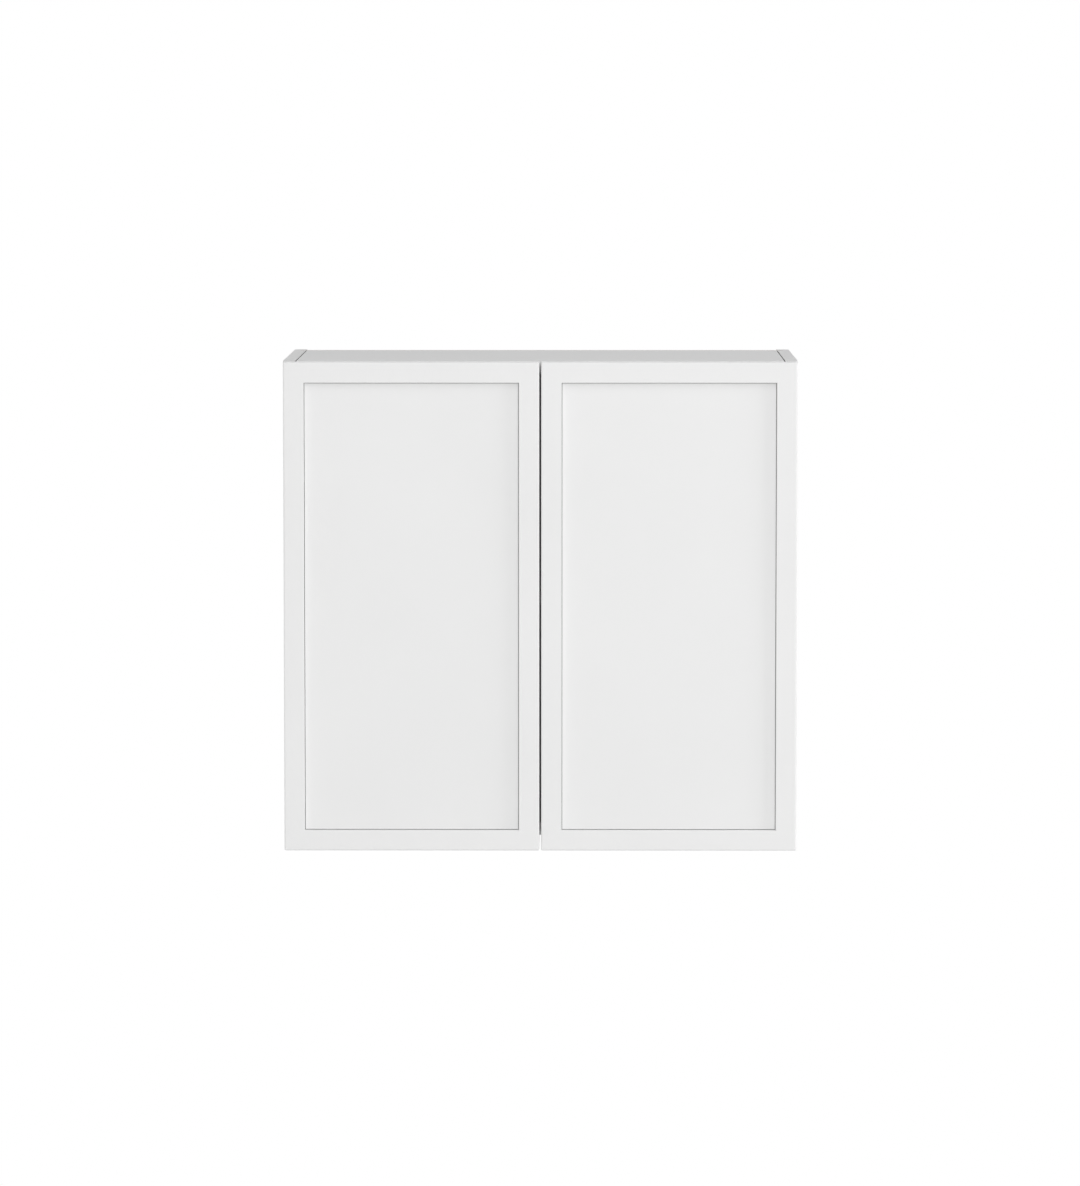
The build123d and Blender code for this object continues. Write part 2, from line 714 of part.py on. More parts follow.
# Pieces that exist once
nodes = {
    "top_panel": horizontal_panel(panel_middles()[0], seam_groove(carcass_top, -1)),
    "bottom_panel": horizontal_panel(panel_middles()[1], seam_groove(carcass_bottom, 1)),
    "back_panel": back_panel(),
    "shelf": shelf(),
    "shelf_supports": shelf_supports(),
    "cam_locks": cam_locks(),
    "cam_bolts": cam_bolts(),
    "wood_dowels": wood_dowels(),
}

# Pieces that exist once on each side, drawn for the left
left = {
    "side": left_side_panel(),
    "door_panel": door_board_left(),
    "door_bumpers": bumpers_left(),
    "hinge_pins": hinge_pins_left(),
    "hinge_springs": hinge_springs_left(),
    "cup_screws": cup_screws_left(),
    "plate_screws": plate_screws_left(),
    "arm_screws": arm_screws_left(),
    "hanger_housing": hanger_housing_left(),
    "hanger_cap": hanger_cap_left(),
    "hanger_hook": hook_left(),
    "hanger_depth_screw": depth_screw_left(),
    "hanger_lift_screw": lift_screw_left(),
    "wall_plate": wall_plate_left(),
}
for name, strip in door_frame_left().items():
    left[f"door_{name}"] = strip
for level, z in hinge_heights.items():
    left[f"{level}_hinge_cup"] = hinge_cup(z)
    left[f"{level}_hinge_arm"] = hinge_arm(z)
    left[f"{level}_hinge_plate"] = mounting_plate(z)

for name, piece in left.items():
    nodes[f"left_{name}"] = piece
    nodes[f"right_{name}"] = mirrored(piece)

for name, piece in nodes.items():
    export_step(piece, f"parts/{name}.step")
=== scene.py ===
# %% [markdown]
# A hanging wall cabinet, dressed in Blender
#
# The cabinet's boards, doors, hinges and hangers come in as finished solids, each at its real
# place and in metres. This lesson gives them light, a camera and surfaces, and models the hinge
# screws and the door bumpers, which the solids leave plain. The frame is loaded first, because
# everything else is placed from it, and its box is kept for placing the floor and the lamps.

# %% Load the frame
import json
from collections import namedtuple
from math import pi, radians

import bmesh
import bpy
from mathutils import Matrix, Vector

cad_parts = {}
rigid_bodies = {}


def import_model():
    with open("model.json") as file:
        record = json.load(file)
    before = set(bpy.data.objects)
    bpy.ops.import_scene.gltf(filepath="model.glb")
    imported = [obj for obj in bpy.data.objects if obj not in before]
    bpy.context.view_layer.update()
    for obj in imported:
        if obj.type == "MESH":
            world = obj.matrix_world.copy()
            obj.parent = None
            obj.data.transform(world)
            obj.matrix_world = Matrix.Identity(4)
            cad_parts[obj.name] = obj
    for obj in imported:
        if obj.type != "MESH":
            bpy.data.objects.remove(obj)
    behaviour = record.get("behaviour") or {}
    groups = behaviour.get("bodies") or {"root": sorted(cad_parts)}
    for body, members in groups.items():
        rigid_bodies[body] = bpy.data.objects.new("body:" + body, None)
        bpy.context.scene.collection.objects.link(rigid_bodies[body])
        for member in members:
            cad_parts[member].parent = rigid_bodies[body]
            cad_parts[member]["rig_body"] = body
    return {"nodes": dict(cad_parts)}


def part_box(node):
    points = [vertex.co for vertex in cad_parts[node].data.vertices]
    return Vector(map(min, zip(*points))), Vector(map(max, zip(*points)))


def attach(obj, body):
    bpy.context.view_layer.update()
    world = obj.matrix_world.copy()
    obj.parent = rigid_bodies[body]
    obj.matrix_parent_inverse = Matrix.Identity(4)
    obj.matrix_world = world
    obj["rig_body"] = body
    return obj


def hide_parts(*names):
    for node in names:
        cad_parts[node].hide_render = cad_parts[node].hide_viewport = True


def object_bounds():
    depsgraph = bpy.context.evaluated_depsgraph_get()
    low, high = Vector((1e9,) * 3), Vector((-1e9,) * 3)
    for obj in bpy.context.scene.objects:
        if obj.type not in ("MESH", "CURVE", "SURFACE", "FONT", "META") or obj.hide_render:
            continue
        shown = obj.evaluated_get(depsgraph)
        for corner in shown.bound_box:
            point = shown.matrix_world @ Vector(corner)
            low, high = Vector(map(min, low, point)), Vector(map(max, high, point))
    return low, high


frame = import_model()
nodes = frame["nodes"]
cad_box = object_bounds()
MM = 0.001
print("loaded", len(nodes), "nodes, box in mm:", [round(c / MM, 1) for c in cad_box[1] - cad_box[0]])

# %% [markdown]
# The camera
#
# Product pictures of furniture are taken from far away with a long lens, so that upright edges
# stay upright and only a sliver of the top shows. The same distance, height and lens are used
# here: over seven metres off, a little above the top, tilted about five degrees down and turned
# a third of a degree back to the middle. A nearer camera with a shorter lens would fill the
# frame just as well, but it would show more of the top and make the doors look wedge-shaped.

# %% Set up the camera
camera_place = Vector((39.4, -7254.5, 386.3)) * MM
camera_tilt_down = radians(4.836)
camera_turn_left = radians(0.328)
long_lens_mm = 181.0
sensor_width_mm = 36

camera_data = bpy.data.cameras.new("long_lens_camera")
camera_data.lens = long_lens_mm
camera_data.sensor_width = sensor_width_mm
camera = bpy.data.objects.new("long_lens_camera", camera_data)
camera.location = camera_place
camera.rotation_euler = (pi / 2 - camera_tilt_down, 0, camera_turn_left)
bpy.context.scene.collection.objects.link(camera)
bpy.context.scene.camera = camera
bpy.context.scene.view_settings.view_transform = "Standard"
print("camera stands", round(-camera_place.y, 2), "m in front of the wall")

# %% [markdown]
# Helpers for materials
#
# Colours are picked as sRGB hex values, as a paint chart gives them, and shaders need linear
# light, so one function converts them. A second function adds any shader node with its settings
# and links in a single call, which keeps each material below as short as its description. Sockets
# are picked by name or by number. On a Mix node only numbers will do, because its inputs share
# their names: 0 is its factor, 2 and 3 are the numbers that it mixes, 6 and 7 are the colours, and
# a mixed colour comes out at 2.

# %% Colour and node helpers
def linear(hex_code):
    """The linear colour of an sRGB hex value such as #F0F0EE."""
    channels = [int(hex_code[i:i + 2], 16) / 255 for i in (1, 3, 5)]
    steps = [c / 12.92 if c <= 0.04045 else ((c + 0.055) / 1.055) ** 2.4 for c in channels]
    return (*steps, 1.0)


def add_node(tree, kind, inputs=None, **settings):
    """Add a node, set its properties, and set or link its inputs by name or number."""
    node = tree.nodes.new(kind)
    for name, value in settings.items():
        setattr(node, name, value)
    for key, value in (inputs or {}).items():
        if isinstance(value, bpy.types.NodeSocket):
            tree.links.new(value, node.inputs[key])
        else:
            node.inputs[key].default_value = value
    return node


print("#808080 is", round(linear("#808080")[0], 3), "in linear light")

# %% [markdown]
# Every material starts from a Principled shader and reads Object coordinates, which on these
# solids are simply metres in the cabinet's frame. That makes real sizes easy: a noise texture
# with features 3 mm wide has a scale of one over 0.003. A board's material can also find out how
# deep a point lies inside the board, which tells a painted face from the wall of a bore.

# %% Material helpers
def start_material(name, **shader_values):
    """A new material, its node tree, its Principled shader and its Object coordinates."""
    material = bpy.data.materials.new(name)
    material.use_nodes = True
    tree = material.node_tree
    shader = tree.nodes["Principled BSDF"]
    for socket, value in shader_values.items():
        shader.inputs[socket.replace("_", " ")].default_value = value
    place = add_node(tree, "ShaderNodeTexCoord").outputs["Object"]
    return material, tree, shader, place


def link_surface(tree, shader, **outputs):
    """Link outputs of nodes to the shader's sockets, with _ for a space in a socket's name."""
    for socket, output in outputs.items():
        tree.links.new(output, shader.inputs[socket.replace("_", " ")])


def add_depth(tree, place, board):
    """How deep a point lies inside a board: its least distance to any face of the board's box."""
    low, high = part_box(board)
    offset = add_node(tree, "ShaderNodeVectorMath", {0: place, 1: (low + high) / 2}, operation="SUBTRACT")
    reach = add_node(tree, "ShaderNodeVectorMath", {0: offset.outputs[0]}, operation="ABSOLUTE")
    inside = add_node(tree, "ShaderNodeVectorMath", {0: (high - low) / 2, 1: reach.outputs[0]},
                      operation="SUBTRACT")
    axes = add_node(tree, "ShaderNodeSeparateXYZ", {0: inside.outputs[0]})
    least = add_node(tree, "ShaderNodeMath", {0: axes.outputs[0], 1: axes.outputs[1]}, operation="MINIMUM")
    return add_node(tree, "ShaderNodeMath", {0: least.outputs[0], 1: axes.outputs[2]}, operation="MINIMUM")


def dress(material, *names):
    """Give CAD nodes a material in place of the plain one that they came with."""
    for name in names:
        slots = nodes[name].data.materials
        slots.clear()
        slots.append(material)
    print(material.name, "on", len(names), "nodes")


def both(*names):
    """The left and the right node of each name."""
    return [f"{side}_{name}" for name in names for side in ("left", "right")]


print("two nodes share one name:", both("door_panel"))

# %% [markdown]
# White lacquer on the doors
#
# The doors are MDF, sanded, primed and sprayed with a satin white lacquer. The board has no grain,
# so what the eye gets is an even white with a soft sheen and, in a low light, the faint orange peel
# that a spray gun leaves: shallow waves a few millimetres wide. A plain white shader would look
# like plastic film, so the waves go into the bump, a finer dust of overspray into the roughness,
# and a very weak cloud into the colour. The spray hardly reaches into the narrow groove beside the
# frame and not at all into the hinge bores, and there the colour turns grey: partly the primer that
# shows, partly painted shade that darkens the groove into a line. Both are found by how deep a
# point lies inside the board.

# %% Satin lacquer
def satin_lacquer(name, board=None):
    peel_width = 3.5 * MM
    peel_depth = 0.04 * MM
    dust_width = 0.5 * MM
    cloud_width = 160 * MM
    spray_reach = 0.85 * MM
    material, tree, shader, place = start_material(name, IOR=1.5)
    peel = add_node(tree, "ShaderNodeTexNoise", {"Vector": place, "Scale": 1 / peel_width, "Detail": 1.0})
    dust = add_node(tree, "ShaderNodeTexNoise", {"Vector": place, "Scale": 1 / dust_width, "Detail": 0.0})
    cloud = add_node(tree, "ShaderNodeTexNoise", {"Vector": place, "Scale": 1 / cloud_width, "Detail": 2.0})
    tint = add_node(tree, "ShaderNodeMix",
                    {0: cloud.outputs[0], 6: linear("#EEEEEE"), 7: linear("#F2F2F2")}, data_type="RGBA")
    sheen = add_node(tree, "ShaderNodeMapRange", {"Value": dust.outputs[0], "To Min": 0.38, "To Max": 0.48})
    bump = add_node(tree, "ShaderNodeBump",
                    {"Height": peel.outputs[0], "Strength": 0.12, "Distance": peel_depth})
    # Below the spray's reach the colour is grey: the primer, and painted shade in the groove
    if board:
        depth = add_depth(tree, place, board)
        primer_and_shade = add_node(tree, "ShaderNodeMath", {0: depth.outputs[0], 1: spray_reach},
                        operation="GREATER_THAN")
        tint = add_node(tree, "ShaderNodeMix",
                        {0: primer_and_shade.outputs[0], 6: tint.outputs[2], 7: linear("#8F8F8F")}, data_type="RGBA")
    link_surface(tree, shader, Base_Color=tint.outputs[2], Roughness=sheen.outputs[0],
                 Normal=bump.outputs[0])
    return material


dress(satin_lacquer("satin_lacquered_mdf_strips"),
      *both("door_outer_stile", "door_inner_stile", "door_top_rail", "door_bottom_rail"))
for panel in both("door_panel"):
    dress(satin_lacquer(f"satin_lacquered_mdf_{panel}", panel), panel)

# %% [markdown]
# Bare chipboard
#
# Chipboard is made of wood chips that are glued and pressed flat, so on a cut edge they look long
# in the plane of the board and thin across it, each in its own shade of brown. A cell texture
# gives every cell one shade, which is just what chips need. Its coordinates are stretched to the
# chip's size, and a little noise on them tears the chips' ends. The fine dust between the chips
# is a second noise, mixed in.

# %% Chips of the core
def add_chips(tree, place, board):
    """The grain of bare chipboard, as a number from 0 to 1, and its colour."""
    chip_length = 3.4 * MM
    chip_thickness = 1.1 * MM
    tears_per_chip = 1.5
    dust_width = 0.6 * MM
    dust_share = 0.45
    low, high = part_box(board)
    board_thickness = min(high - low)
    chip = [chip_thickness if width == board_thickness else chip_length for width in high - low]
    flat = add_node(tree, "ShaderNodeVectorMath", {0: place, 1: chip}, operation="DIVIDE")
    tear = add_node(tree, "ShaderNodeTexNoise",
                    {"Vector": flat.outputs[0], "Scale": tears_per_chip, "Detail": 3.0})
    torn = add_node(tree, "ShaderNodeVectorMath", {0: tear.outputs["Color"], 1: flat.outputs[0]},
                    operation="ADD")
    chips = add_node(tree, "ShaderNodeTexVoronoi", {"Vector": torn.outputs[0], "Scale": 1.0})
    shade = add_node(tree, "ShaderNodeSeparateColor", {"Color": chips.outputs["Color"]})
    dust = add_node(tree, "ShaderNodeTexNoise", {"Vector": place, "Scale": 1 / dust_width, "Detail": 3.0})
    grain = add_node(tree, "ShaderNodeMix", {0: dust_share, 2: shade.outputs[0], 3: dust.outputs[0]})
    brown = add_node(tree, "ShaderNodeMix",
                     {0: grain.outputs[0], 6: linear("#8E6A49"), 7: linear("#E9D1AE")}, data_type="RGBA")
    return grain.outputs[0], brown.outputs[2]


shelf_low, shelf_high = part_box("shelf")
print("chips lie flat in a shelf of", [round(c / MM, 1) for c in shelf_high - shelf_low], "mm")

# %% [markdown]
# White melamine on the carcass
#
# The carcass is chipboard faced with paper that is soaked in melamine resin and pressed against
# a lightly textured steel plate. The eye gets a matt white with a fine pearl grain. Visible edges
# are banded in the same white. The rear edges, which face the wall, stay raw and show the brown
# chips. The walls of every bore and groove are raw as well, but painted a dark grey: painted shade
# that makes the narrow seam grooves read as dark lines. Raw board is found here by measuring how
# deep a point lies inside its own board, and by which way the face looks, so one recipe serves
# every board, each with its own box from the frame.

# %% Melamine-faced chipboard
def melamine_board(board):
    pearl_width = 0.9 * MM
    relief_depth = 0.05 * MM
    skin = 0.5 * MM
    nearly_straight_back = 0.9
    material, tree, shader, place = start_material(f"melamine_chipboard_{board}", IOR=1.5,
                                                   Specular_IOR_Level=0.2)
    pearl = add_node(tree, "ShaderNodeTexNoise", {"Vector": place, "Scale": 1 / pearl_width, "Detail": 1.5})
    white = add_node(tree, "ShaderNodeMix",
                     {0: pearl.outputs[0], 6: linear("#E4E4E4"), 7: linear("#EAEAEA")}, data_type="RGBA")
    grain, brown = add_chips(tree, place, board)

    # Bores and grooves lie deeper than the skin; rear edges look along +Y and have no banding
    depth = add_depth(tree, place, board)
    core = add_node(tree, "ShaderNodeMath", {0: depth.outputs[0], 1: skin}, operation="GREATER_THAN")
    facing = add_node(tree, "ShaderNodeNewGeometry").outputs["True Normal"]
    rearward = add_node(tree, "ShaderNodeSeparateXYZ", {0: facing})
    rear = add_node(tree, "ShaderNodeMath", {0: rearward.outputs[1], 1: nearly_straight_back},
                    operation="GREATER_THAN")
    raw = add_node(tree, "ShaderNodeMath", {0: core.outputs[0], 1: rear.outputs[0]}, operation="MAXIMUM")
    # Walls of bores and grooves are dark grey: painted shade, not the colour of the chips
    core_shade = add_node(tree, "ShaderNodeMix",
                     {0: core.outputs[0], 6: brown, 7: linear("#58534C")}, data_type="RGBA")

    colour = add_node(tree, "ShaderNodeMix",
                      {0: raw.outputs[0], 6: white.outputs[2], 7: core_shade.outputs[2]}, data_type="RGBA")
    rough = add_node(tree, "ShaderNodeMapRange", {"Value": raw.outputs[0], "To Min": 0.7, "To Max": 0.9})
    relief = add_node(tree, "ShaderNodeMix", {0: raw.outputs[0], 2: pearl.outputs[0], 3: grain})
    bump = add_node(tree, "ShaderNodeBump",
                    {"Height": relief.outputs[0], "Strength": 0.25, "Distance": relief_depth})
    link_surface(tree, shader, Base_Color=colour.outputs[2], Roughness=rough.outputs[0],
                 Normal=bump.outputs[0])
    return material


for board in ("left_side", "right_side", "top_panel", "bottom_panel", "shelf"):
    dress(melamine_board(board), board)

# %% [markdown]
# Hardboard behind the shelf
#
# The back is a three millimetre hardboard sheet: wood fibres pressed wet, painted white on the
# face that looks into the cabinet and left brown on the one that looks at the wall. The brown
# side shows matted fibres about a millimetre wide, stains as wide as a hand, and the weave of the
# screen that it was pressed on, drawn here at twice its real pitch so that it still shows from
# across a room. A wave texture repeats every pi / 10 at a scale of 1, which gives the scale for
# any other pitch.

# %% Painted hardboard
def painted_hardboard():
    fibre_width = 1.2 * MM
    stain_width = 90 * MM
    stain_share = 0.35
    screen_pitch = 3.0 * MM
    screen_scale = pi / 10 / screen_pitch
    relief_depth = 0.1 * MM
    looks_inside = -0.5
    material, tree, shader, place = start_material("painted_hardboard", IOR=1.5)
    fibre = add_node(tree, "ShaderNodeTexNoise", {"Vector": place, "Scale": 1 / fibre_width, "Detail": 3.0})
    stain = add_node(tree, "ShaderNodeTexNoise", {"Vector": place, "Scale": 1 / stain_width, "Detail": 3.0})
    mixed = add_node(tree, "ShaderNodeMath", {0: stain.outputs[0], 1: stain_share, 2: fibre.outputs[0]},
                     operation="MULTIPLY_ADD")
    spread = add_node(tree, "ShaderNodeMapRange",
                      {"Value": mixed.outputs[0], "From Min": 0.4, "From Max": 0.95})
    brown = add_node(tree, "ShaderNodeMix",
                     {0: spread.outputs[0], 6: linear("#6B4A2C"), 7: linear("#A27D55")}, data_type="RGBA")
    white = add_node(tree, "ShaderNodeMix",
                     {0: fibre.outputs[0], 6: linear("#E6E6E5"), 7: linear("#ECECEB")}, data_type="RGBA")
    columns, rows = [add_node(tree, "ShaderNodeTexWave", {"Vector": place, "Scale": screen_scale},
                              bands_direction=direction) for direction in ("X", "Z")]
    screen = add_node(tree, "ShaderNodeMath", {0: columns.outputs[1], 1: rows.outputs[1]},
                      operation="MULTIPLY")

    # The painted face looks along -Y
    facing = add_node(tree, "ShaderNodeNewGeometry").outputs["True Normal"]
    ahead = add_node(tree, "ShaderNodeSeparateXYZ", {0: facing})
    painted = add_node(tree, "ShaderNodeMath", {0: ahead.outputs[1], 1: looks_inside},
                       operation="LESS_THAN")
    colour = add_node(tree, "ShaderNodeMix",
                      {0: painted.outputs[0], 6: brown.outputs[2], 7: white.outputs[2]}, data_type="RGBA")
    rough = add_node(tree, "ShaderNodeMapRange",
                     {"Value": painted.outputs[0], "To Min": 0.85, "To Max": 0.55})
    relief = add_node(tree, "ShaderNodeMix",
                      {0: painted.outputs[0], 2: screen.outputs[0], 3: fibre.outputs[0]})
    bump = add_node(tree, "ShaderNodeBump",
                    {"Height": relief.outputs[0], "Strength": 0.35, "Distance": relief_depth})
    link_surface(tree, shader, Base_Color=colour.outputs[2], Roughness=rough.outputs[0],
                 Normal=bump.outputs[0])
    return material


dress(painted_hardboard(), "back_panel")

# %% [markdown]
# Plated steel and cast zinc
#
# Hinges are pressed from steel strip and nickel plated: a warm grey metal with a soft, slightly
# uneven shine. Hooks and wall plates are zinc plated and passivated, which looks colder and
# cloudier. The cams are cast zinc, dull and grainy. One recipe makes all three, because they differ
# only in colour, in how sharp they mirror, in the size of the cloud that breaks the mirror up, and
# in how deep their grain is.

# %% Metals
def metal(name, dark, light, roughness, cloud_width, grain_depth):
    """A metal whose colour and roughness drift over a cloud of the given width."""
    grain_width = 0.6 * MM
    sharpest, dullest = roughness
    material, tree, shader, place = start_material(name, Metallic=1.0)
    cloud = add_node(tree, "ShaderNodeTexNoise", {"Vector": place, "Scale": 1 / cloud_width, "Detail": 3.0})
    grain = add_node(tree, "ShaderNodeTexNoise", {"Vector": place, "Scale": 1 / grain_width, "Detail": 1.0})
    tint = add_node(tree, "ShaderNodeMix",
                    {0: cloud.outputs[0], 6: linear(dark), 7: linear(light)}, data_type="RGBA")
    shine = add_node(tree, "ShaderNodeMapRange",
                     {"Value": cloud.outputs[0], "From Min": 0.3, "From Max": 0.7,
                      "To Min": sharpest, "To Max": dullest})
    bump = add_node(tree, "ShaderNodeBump",
                    {"Height": grain.outputs[0], "Strength": 0.15, "Distance": grain_depth})
    link_surface(tree, shader, Base_Color=tint.outputs[2], Roughness=shine.outputs[0],
                 Normal=bump.outputs[0])
    return material


nickel = metal("nickel_plated_steel", "#BDB8AF", "#D6D2CA", roughness=(0.22, 0.34),
               cloud_width=12 * MM, grain_depth=0.02 * MM)
zinc_plate = metal("zinc_plated_steel", "#9DA3AA", "#C3C8CD", roughness=(0.4, 0.56),
                   cloud_width=5 * MM, grain_depth=0.03 * MM)
zinc_cast = metal("cast_zinc", "#8F9092", "#A9AAAB", roughness=(0.45, 0.6),
                  cloud_width=4 * MM, grain_depth=0.08 * MM)
dress(nickel, *both("upper_hinge_cup", "lower_hinge_cup", "upper_hinge_arm", "lower_hinge_arm",
                    "upper_hinge_plate", "lower_hinge_plate", "hinge_pins", "hinge_springs"))
dress(nickel, "shelf_supports")
dress(zinc_plate, *both("hanger_hook", "wall_plate", "hanger_depth_screw", "hanger_lift_screw"))
dress(zinc_plate, "cam_bolts")
dress(zinc_cast, "cam_locks")

# %% [markdown]
# Moulded plastic on the hangers
#
# The hanger housings are moulded in grey plastic and covered by white caps. The mould is spark
# eroded, so both have a fine, slightly glinting grain instead of a smooth gloss. One noise drives
# colour, roughness and bump alike, because all three come from the same pits in the mould.

# %% Moulded plastics
def moulded_plastic(name, dark, light):
    grain_width = 0.7 * MM
    grain_depth = 0.04 * MM
    material, tree, shader, place = start_material(name, IOR=1.5)
    grain = add_node(tree, "ShaderNodeTexNoise", {"Vector": place, "Scale": 1 / grain_width, "Detail": 2.0})
    tint = add_node(tree, "ShaderNodeMix",
                    {0: grain.outputs[0], 6: linear(dark), 7: linear(light)}, data_type="RGBA")
    sheen = add_node(tree, "ShaderNodeMapRange", {"Value": grain.outputs[0], "To Min": 0.4, "To Max": 0.6})
    bump = add_node(tree, "ShaderNodeBump",
                    {"Height": grain.outputs[0], "Strength": 0.3, "Distance": grain_depth})
    link_surface(tree, shader, Base_Color=tint.outputs[2], Roughness=sheen.outputs[0],
                 Normal=bump.outputs[0])
    return material


dress(moulded_plastic("white_moulded_plastic", "#E6E6E3", "#EEEEEC"), *both("hanger_cap"))
dress(moulded_plastic("grey_moulded_plastic", "#8B8D8F", "#9A9C9E"), *both("hanger_housing"))

# %% [markdown]
# Beech in the corners
#
# The dowels that line the boards up are beech. They are hidden in the boards, but they still get
# their wood, pale brown with short darker flecks along the grain, so that the model is whole when
# a board is taken away. They all lie along X, so the noise is stretched that way.

# %% Beech
def beech():
    fleck_length = 6.0 * MM
    fleck_width = 0.6 * MM
    fleck_depth = 0.05 * MM
    material, tree, shader, place = start_material("beech", IOR=1.5, Roughness=0.7)
    along = add_node(tree, "ShaderNodeVectorMath", {0: place, 1: (fleck_length, fleck_width, fleck_width)},
                     operation="DIVIDE")
    fleck = add_node(tree, "ShaderNodeTexNoise", {"Vector": along.outputs[0], "Scale": 1.0, "Detail": 3.0})
    tint = add_node(tree, "ShaderNodeMix",
                    {0: fleck.outputs[0], 6: linear("#A97B50"), 7: linear("#DDB98C")}, data_type="RGBA")
    bump = add_node(tree, "ShaderNodeBump",
                    {"Height": fleck.outputs[0], "Strength": 0.3, "Distance": fleck_depth})
    link_surface(tree, shader, Base_Color=tint.outputs[2], Normal=bump.outputs[0])
    return material


dress(beech(), "wood_dowels")

# %% [markdown]
# Screws with a cross recess
#
# Three kinds of screw hold the hinges: broad heads clamp the mounting plates to the sides, round
# ones clamp the arms to the plates, and small ones hold the cup flanges in the doors. The solids
# leave their heads plain. A real screw is headed cold from wire, and the punch that forms the head
# sinks the cross as well. It could be drawn as one turned profile, but then the cross would still
# have to be cut, so each kind is built much as it is made: a disc gets its rim rounded, the shank
# is drawn out of its underside, and a tapered cross is sunk into the top. Faces are picked by the
# way that they look, which is where nearly all of their normal goes.

# %% Tools for the screws
nearly_all = 0.9


def looks_up(face):
    return face.normal.z > nearly_all


def looks_down(face):
    return face.normal.z < -nearly_all


def looks_sideways(face):
    return abs(face.normal.z) < 1 - nearly_all


def pick_faces(piece, wanted):
    """In edit mode, select only the faces for which wanted(face) is true."""
    bpy.ops.mesh.select_all(action="DESELECT")
    mesh = bmesh.from_edit_mesh(piece.data)
    for face in filter(wanted, mesh.faces):
        face.select_set(True)
    bmesh.update_edit_mesh(piece.data)


def cross_punch(wing, thickness, depth, top):
    """A tapered cross that reaches down from above the top to its depth."""
    tip_share = 0.45
    bpy.ops.object.select_all(action="DESELECT")
    bpy.ops.mesh.primitive_cube_add(size=1, location=(0, 0, top), scale=(thickness, thickness, 2 * depth))
    bpy.ops.object.transform_apply()
    punch = bpy.context.object
    bpy.ops.object.mode_set(mode="EDIT")
    pick_faces(punch, looks_sideways)
    bpy.ops.mesh.extrude_faces_move(TRANSFORM_OT_shrink_fatten={"value": wing - thickness / 2})
    pick_faces(punch, looks_down)
    bpy.ops.transform.resize(value=(tip_share, tip_share, 1), center_override=(0, 0, top - depth))
    bpy.ops.object.mode_set(mode="OBJECT")
    return punch


# %% One screw of each kind
ScrewSize = namedtuple("ScrewSize", "head_radius head_height shank_radius shank_length")
round_profile = 0.5
crease_angle = radians(30)


def cross_screw(name, size):
    """A screw that stands on the underside of its head at the origin, with its shank below."""
    head_sides = 40
    rim_round = 0.45 * size.head_height
    tip_round = 0.25 * size.shank_radius
    wing = 0.58 * size.head_radius
    wing_thickness = 0.26 * size.head_radius
    recess_depth = 0.7 * size.head_height
    bpy.ops.object.select_all(action="DESELECT")
    bpy.ops.mesh.primitive_cylinder_add(vertices=head_sides, radius=size.head_radius,
                                        depth=size.head_height, location=(0, 0, size.head_height / 2))
    bpy.ops.object.transform_apply()
    screw = bpy.context.object
    screw.name = name
    bpy.ops.object.mode_set(mode="EDIT")
    pick_faces(screw, looks_up)
    bpy.ops.mesh.bevel(offset=rim_round, segments=4, profile=round_profile)
    pick_faces(screw, looks_down)
    bpy.ops.mesh.inset(thickness=size.head_radius - size.shank_radius)
    bpy.ops.mesh.extrude_region_move(TRANSFORM_OT_translate={"value": (0, 0, -size.shank_length)})
    bpy.ops.mesh.bevel(offset=tip_round, segments=2, profile=round_profile)
    bpy.ops.object.mode_set(mode="OBJECT")

    punch = cross_punch(wing, wing_thickness, recess_depth, top=size.head_height)
    cut = screw.modifiers.new("punch", "BOOLEAN")
    cut.solver = "EXACT"
    cut.object = punch
    bpy.ops.object.select_all(action="DESELECT")
    bpy.context.view_layer.objects.active = screw
    bpy.ops.object.modifier_apply(modifier=cut.name)
    bpy.data.objects.remove(punch)
    screw.select_set(True)
    bpy.ops.object.shade_smooth_by_angle(angle=crease_angle)
    screw.data.materials.append(nickel)
    print(name, "has", len(screw.data.polygons), "faces")
    return screw


plate_size = ScrewSize(head_radius=4.2 * MM, head_height=2.2 * MM,
                       shank_radius=2.5 * MM, shank_length=12 * MM)
arm_size = ScrewSize(head_radius=3.8 * MM, head_height=2.0 * MM,
                     shank_radius=2.5 * MM, shank_length=5 * MM)
cup_size = ScrewSize(head_radius=3.6 * MM, head_height=1.6 * MM,
                     shank_radius=1.75 * MM, shank_length=11.7 * MM)
plate_screw = cross_screw("plate_screw", plate_size)
arm_screw = cross_screw("arm_screw", arm_size)
cup_screw = cross_screw("cup_screw", cup_size)

# %% [markdown]
# The screws are set where the plain ones sit. Their places are read from the frame: the box of a
# group of screws gives its outermost heads, and the pitch between two screws of one hinge gives
# the rest. No fitter stops all screws at the same angle, so each cross is turned a bit further.

# %% Copies on their seats
def set_copies(node, model, spots, axis, angle, detail):
    """Copies of a model at the spots, tipped over to stand on their seats, as one piece for the node."""
    first_turn = 25
    further_turn = 37
    tipped = Matrix.Rotation(radians(angle), 4, axis)
    bpy.ops.object.select_all(action="DESELECT")
    for number, spot in enumerate(spots):
        copy = bpy.data.objects.new("copy_in_place", model.data.copy())
        bpy.context.scene.collection.objects.link(copy)
        own_turn = Matrix.Rotation(radians(first_turn + further_turn * number), 4, "Z")
        copy.matrix_world = Matrix.Translation(spot) @ tipped @ own_turn
        copy.select_set(True)
    bpy.context.view_layer.objects.active = copy
    bpy.ops.object.join()
    bpy.ops.object.transform_apply()
    piece = bpy.context.object
    piece.name = f"{node}_{detail}"
    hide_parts(node)
    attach(piece, nodes[node]["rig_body"])


# %% Set the screws in place
plate_screw_pitch = 32 * MM
cup_screw_pitch = 45 * MM


def set_screws(node, model, spots, axis, angle):
    set_copies(node, model, spots, axis, angle, "cross_recess")


def seat_on_side(low, high, inward, head_height):
    """X of the seat under heads that look inward from a side panel, from the box of their screws."""
    head_top = high.x if inward > 0 else low.x
    return head_top - inward * head_height


